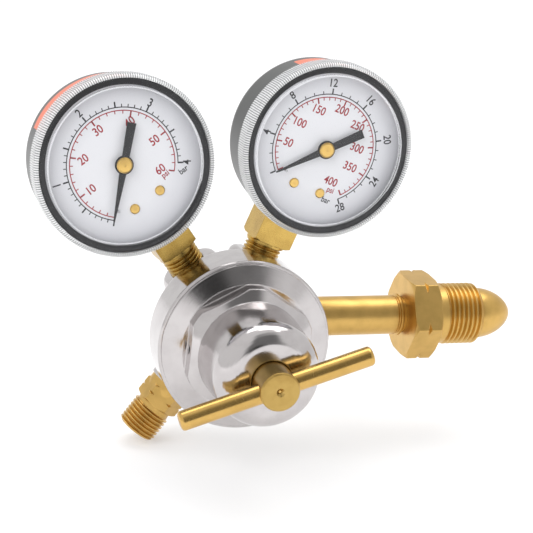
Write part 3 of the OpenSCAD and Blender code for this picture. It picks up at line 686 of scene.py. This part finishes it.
def case_paint(side):
    """Charcoal enamel, with an orange field over the top of the case."""
    made = Finish("case_paint_" + side, CHARCOAL, roughness=0.35, Coat_Weight=0.2)
    at = made.local(on_dial(side))
    x, y, z = made.xyz(at)
    angle = x.math("ARCTAN2", z)
    first, last = ORANGE_FIELD[side]
    field = (angle > math.radians(first)) * (angle < math.radians(last)) * (y < 0)
    peel = made.noise(at, scale=1.4, detail=3.0)
    made.set(**{
        "Base Color": made.mix(field, CHARCOAL, ORANGE),
        "Normal": made.bump(peel, strength=0.08, distance=0.05),
    })
    return made.material


def window_plastic(side):
    """Clear sheet that mirrors a little of the room, with a painted highlight line at its moulded step."""
    made = Finish("window_clear_" + side, WINDOW_TINT, roughness=0.04, metallic=1.0)
    gloss = made.value(made.node("ShaderNodeFresnel", None, {"IOR": 1.45}).outputs[0])
    x, y, _ = made.xyz(made.local(on_print(side, 0)))
    radius = (x * x + y * y).root()
    # A painted highlight: a ring of more opaque mirror at the window's step
    highlight_rise = radius.between(WINDOW_STEP - STEP_HIGHLIGHT_EDGE, WINDOW_STEP - STEP_HIGHLIGHT_CORE)
    highlight_fall = radius.between(WINDOW_STEP + STEP_HIGHLIGHT_CORE, WINDOW_STEP + STEP_HIGHLIGHT_EDGE)
    made.set(Alpha=gloss * GLOSS_SHARE + (highlight_rise - highlight_fall) * STEP_HIGHLIGHT_SHARE)
    return made.material


def skirt_plastic(side):
    """Clear plastic gone milky where its ribs scatter the light, with painted shade darkening it between two
    ribs.
    """
    made = Finish("skirt_clear_" + side, SKIRT_PALE, roughness=0.16, IOR=1.49)
    at = made.local(on_print(side, 0))
    x, y, _ = made.xyz(at)
    rib = (x.math("ARCTAN2", y) * RIBS).math("SINE").between(*RIB_SHADE_RAMP)
    haze = made.noise(at, scale=0.3, detail=3.0)
    made.set(**{
        # Painted shade between the ribs, pale plastic on them
        "Base Color": made.mix(rib, SKIRT_GROOVE_SHADE, SKIRT_PALE),
        "Alpha": rib * RIB_ALPHA + haze * HAZE_ALPHA + SKIRT_ALPHA,
    })
    return made.material


# The CAD nodes' own finishes

window_clear = {side: window_plastic(side) for side in SIDES}
skirt_clear = {side: skirt_plastic(side) for side in SIDES}
node_finishes = {
    "body": chrome, "bonnet": chrome, "adjusting_screw": brass_dark, "cross_bar": brass_handle,
    "spring_button": steel, "pressure_spring": steel, "diaphragm_plate": brass_dark, "slip_ring": steel,
    "diaphragm": rubber, "nozzle": brass_dark, "seat_disc": rubber, "poppet": brass_dark,
    "valve_pin": steel, "valve_spring": steel, "inlet_filter": brass_dark, "inlet_nipple": brass_inlet,
    "inlet_nut": brass_inlet, "outlet_fitting": brass_outlet,
}
for side in SIDES:
    for name, finish in {
        "socket": brass_socket[side], "case": case_paint(side), "lens": window_clear[side],
        "ring": black_plastic, "dial": dial_white(side), "dial_screws": brass_bright, "stop_pin": steel,
        "pointer": black_paint, "pointer_boss": brass_bright, "arbor": steel, "sector": brass_dark,
        "link": brass_dark, "front_plate": brass_dark, "back_plate": brass_dark, "bourdon_tube": brass_dark,
    }.items():
        node_finishes[f"{side}_{name}"] = finish

for name, finish in node_finishes.items():
    nodes[name].data.materials.clear()
    nodes[name].data.materials.append(finish)


# Threaded pieces

def helix_cutter(name, radius, depth, pitch, start, end, hand, steps=40):
    """A V groove wound about Z, to cut a thread whose crests stay at the radius."""
    proud, lip = radius + 0.35, radius + 0.001
    root, mouth, outside = pitch * 0.06, pitch * 0.38, pitch * 0.48
    section = [
        (proud, -outside), (lip, -mouth), (radius - depth, -root),
        (radius - depth, root), (lip, mouth), (proud, outside),
    ]
    rows = []
    for k in range(int((end - start) / pitch * steps) + 1):
        angle = hand * 2 * math.pi * k / steps
        z = start + pitch * k / steps
        rows.append([(r * math.cos(angle), r * math.sin(angle), z + h) for r, h in section])
    return swept(rows, name)


def threaded(node, name, body, matrix, sizes, finish, width, segments):
    """A copy of a CAD node with its thread cut and its edges eased, in the node's place."""
    groove = helix_cutter(name + "_groove", **sizes)
    groove.transform(matrix)
    mesh = cut(merged(node), groove, name)
    finished(eased(mesh, width, segments), name, body, finish, [node])


threaded(
    "inlet_nut", "nut", "inlet_nut", INLET, NUT_THREAD, brass_inlet, width=0.10, segments=1
)
threaded(
    "outlet_fitting", "outlet", "root", OUTLET, OUTLET_THREAD, brass_outlet, width=0.08, segments=1
)
for side in SIDES:
    stem_thread = {**STEM_THREAD, "end": STEM_THREAD_END[side]}
    threaded(
        side + "_socket", side + "_stem", "root", on_stem(side), stem_thread, brass_socket[side],
        width=0.25, segments=2,
    )


# Windows: a clear pane with its rim, and a skirt with fine ribs

for side in SIDES:
    window = spun([
        (0, WINDOW_BACK + 0.05), (WINDOW_STEP, WINDOW_BACK + 0.05), (26.6, WINDOW_BACK - 0.1),
        (WINDOW_R, WINDOW_BACK - 0.1), (WINDOW_R, WINDOW_FRONT - 0.9), (27.9, WINDOW_FRONT - 0.35),
        (27.2, WINDOW_FRONT - 0.05), (26.4, WINDOW_FRONT), (25.6, WINDOW_FRONT - 0.25),
        (25.0, WINDOW_FRONT - 0.35), (0, WINDOW_FRONT - 0.35),
    ], side + "_window", closed=False)
    window.transform(on_print(side, 0))
    shade(window, angle=30)
    window = finished(window, side + "_window", "root", window_clear[side], [side + "_lens"])
    window.visible_shadow = window.visible_diffuse = False
    skirt = spun([
        (WINDOW_R, SKIRT_BACK), (SKIRT_R, SKIRT_BACK), (SKIRT_R, WINDOW_FRONT - 1.35),
        (29.1, WINDOW_FRONT - 0.75), (28.5, WINDOW_FRONT - 0.45), (WINDOW_R, WINDOW_FRONT - 0.5),
    ], side + "_skirt")
    rib = bmesh.new()
    bmesh.ops.create_cone(rib, cap_ends=True, segments=8, radius1=RIB_R, radius2=RIB_R, depth=RIB_LEN)
    bmesh.ops.translate(rib, verts=rib.verts, vec=(0, 0, RIB_START + RIB_LEN / 2))
    ribs = repeated(mesh_from(rib, side + "_ribs"), RIBS, RIB_CIRCLE, 0, 360 / RIBS, skirt_clear[side])
    grip = joined([skirt, ribs])
    grip.transform(on_print(side, 0))
    shade(grip, angle=50)
    finished(grip, side + "_grip", "root", skirt_clear[side])


# Print of the dials

def strip(name, inner, outer, first, last, steps=180):
    """Part of a flat ring, with a little thickness, angles clockwise from straight up."""
    section = ((inner, 0), (inner, INK), (outer, INK), (outer, 0))
    rows = []
    for k in range(steps + 1):
        angle = math.radians(first + (last - first) * k / steps)
        rows.append([(r * math.sin(angle), r * math.cos(angle), h) for r, h in section])
    return swept(rows, name)


def tick(name, width, inner, outer):
    shape = bmesh.new()
    bmesh.ops.create_cube(shape, size=1)
    bmesh.ops.scale(shape, verts=shape.verts, vec=(width, outer - inner, INK))
    bmesh.ops.translate(shape, verts=shape.verts, vec=(0, (inner + outer) / 2, INK / 2))
    return mesh_from(shape, name)


def lettering(words, size, x, y, turn=0.0):
    """Flat words as a thin mesh, centred on a point of the dial."""
    curve = bpy.data.curves.new("lettering", "FONT")
    curve.body = words
    curve.size = size
    curve.align_x = "CENTER"
    curve.align_y = "CENTER"
    curve.extrude = INK / 2
    curve.offset = LETTER_WEIGHT * size
    curve.resolution_u = 4
    mesh = baked(as_object("lettering", curve), "lettering")
    xs, ys = [v.co.x for v in mesh.vertices], [v.co.y for v in mesh.vertices]
    centred = Matrix.Translation((-(min(xs) + max(xs)) / 2, -(min(ys) + max(ys)) / 2, INK / 2))
    narrowed = Matrix.Diagonal((LETTER_NARROW, 1, 1, 1))
    mesh.transform(Matrix.Translation((x, y, 0)) @ turned(-turn, "Z") @ narrowed @ centred)
    return mesh


def polar(radius, angle):
    return radius * math.sin(math.radians(angle)), radius * math.cos(math.radians(angle))


def scale_print(side, name, arc, scale, outwards, finish, words):
    """One scale of a dial: its arc, short and long ticks, and its words."""
    degrees = SWEEP / scale["span"]
    first, last = ZERO - ARC_OVERRUN, ZERO + scale["last"] * degrees + ARC_OVERRUN
    parts = [strip(name, arc - ARC_HALF, arc + ARC_HALF, first, last)]
    for step, form in ((scale["tick"], SHORT_TICK), (scale["long"], LONG_TICK)):
        mark = tick(name, form["width"], *sorted((arc, arc + form["length"] * outwards)))
        count = int(scale["last"] / step + 0.001) + 1
        parts.append(repeated(mark, count, 0, ZERO, step * degrees, finish))
    mesh = joined(parts + words)
    mesh.transform(on_print(side))
    finished(mesh, f"{side}_{name}", "root", finish)


for side in SIDES:
    red, black = SCALES[side]["psi"], SCALES[side]["bar"]
    words = [
        lettering(str(n), RED_SIZE, *polar(r, ZERO + SWEEP * n / red["span"] + NUDGE.get(n, 0)))
        for n, r in red["numbers"].items()
    ]
    words.append(lettering("psi", UNIT_SIZE, *red["unit"]))
    scale_print(side, "red_scale", RED_ARC, red, -1, red_ink, words)
    words = [lettering("bar", UNIT_SIZE, *black["unit"])]
    for n, r in black["numbers"].items():
        angle = ZERO + SWEEP * n / black["span"]
        turn = angle - 180 if angle > TURNED_PAST else angle
        words.append(lettering(str(n), BLACK_SIZE, *polar(r, angle), turn))
    scale_print(side, "black_scale", BLACK_ARC, black, 1, black_ink, words)


# Floor: bright to the camera and in mirrors and windows, plain to the light that bounces

FLOOR_HALF = 6
FLOOR_GAP = 0.0005
FLOOR_GREY = (0.60, 0.60, 0.605, 1)
# The floor's own glow, and what it gains between two distances from the origin
FLOOR_GLOW = 0.38
FLOOR_GLOW_FAR = 0.14
FLOOR_FADE = (0.3, 1.3)

floor_mesh = bmesh.new()
bmesh.ops.create_grid(floor_mesh, x_segments=1, y_segments=1, size=FLOOR_HALF)
bmesh.ops.translate(floor_mesh, verts=floor_mesh.verts, vec=(0, 0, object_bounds()[0].z - FLOOR_GAP))
floor = as_object("floor", mesh_from(floor_mesh, "floor"))
floor_finish = Finish("floor", (0.80, 0.80, 0.80), roughness=0.9)
rays = floor_finish.node("ShaderNodeLightPath").outputs
seen, mirrored, through = [
    floor_finish.value(rays[name]) for name in ("Is Camera Ray", "Is Glossy Ray", "Is Transmission Ray")
]
shown = (seen + mirrored + through).math("MINIMUM", 1.0)
pale = floor_finish.node("ShaderNodeBsdfDiffuse", None, {"Color": FLOOR_GREY})
x, y, _ = floor_finish.xyz(floor_finish.node("ShaderNodeTexCoord").outputs["Object"])
far = (x * x + y * y).root().between(*FLOOR_FADE)
glow = floor_finish.node("ShaderNodeEmission", None, {
    "Color": (1, 1, 1, 1), "Strength": far * FLOOR_GLOW_FAR + FLOOR_GLOW,
})
both = floor_finish.node("ShaderNodeAddShader", None, {0: pale.outputs[0], 1: glow.outputs[0]})
choice = floor_finish.node(
    "ShaderNodeMixShader", None, {0: shown, 1: floor_finish.shader.outputs[0], 2: both.outputs[0]}
)
floor_finish.put(floor_finish.tree.nodes["Material Output"].inputs["Surface"], choice.outputs[0])
floor.data.materials.append(floor_finish.material)


# World: a pale room, dim above the horizon on the camera's side, with a dark spot ahead of the regulator

ROOM_BRIGHT = 0.90
ROOM_DIM = 0.22
# Where the dim part begins and is full: towards the camera's side, above the horizon, and off to both sides
AHEAD_RAMP = (-0.15, -0.75)
ABOVE_RAMP = (-0.08, 0.10)
ASIDE_RAMP = (0.20, 0.42)
MIDDLE = 0.08
ASIDE_LEFT = 0.1
SPOT = (0.03, -0.999, 0.03)
SPOT_RAMP = (0.985, 0.996)
SPOT_DIM = 0.15

world = bpy.data.worlds.new("studio")
scene.world = world
world.use_nodes = True
room = Shades(world.node_tree)
background = world.node_tree.nodes["Background"]
background.inputs["Color"].default_value = (1, 1, 1, 1)
towards = room.node("ShaderNodeTexCoord").outputs["Generated"]
to_right, to_back, to_top = room.xyz(towards)
ahead = to_back.eased(*AHEAD_RAMP, 0.0, 1.0)
above = to_top.eased(*ABOVE_RAMP, 0.0, 1.0)
between_sides = (to_right - MIDDLE).math("ABSOLUTE").eased(*ASIDE_RAMP, 1.0, ASIDE_LEFT)
bright = (ahead * above * between_sides).eased(0.0, 1.0, ROOM_BRIGHT, ROOM_DIM)
facing = room.node("ShaderNodeVectorMath", {"operation": "DOT_PRODUCT"}, {0: towards, 1: SPOT})
spot = room.value(facing.outputs["Value"]).eased(*SPOT_RAMP, 1.0, SPOT_DIM)
seen = room.node("ShaderNodeLightPath").outputs["Is Camera Ray"]
strength = room.node("ShaderNodeMix", None, {0: seen, 2: bright * spot, 3: 1.0})
room.put(background.inputs["Strength"], strength.outputs[0])


# Lamps

AIM = (-0.07, 0, 0.03)


def lamp(name, place, size, watts, mirrored=True):
    """Soft rectangular lamp aimed at the regulator, in metres; metal may or may not mirror it."""
    light = bpy.data.lights.new(name, "AREA")
    light.shape = "RECTANGLE"
    light.size, light.size_y = size
    light.energy = watts
    holder = as_object(name, light)
    holder.location = place
    holder.rotation_euler = (Vector(AIM) - Vector(place)).to_track_quat("-Z", "Y").to_euler()
    holder.visible_glossy = mirrored


lamp("key", (-1.05, -0.62, 0.80), size=(1.2, 1.2), watts=10.5, mirrored=False)
lamp("fill", (0.95, -0.60, 0.5), size=(0.8, 1.4), watts=3.0, mirrored=False)
lamp("top", (0.05, 0.22, 1.0), size=(1.1, 0.6), watts=5.0)

scene.view_settings.view_transform = "Standard"
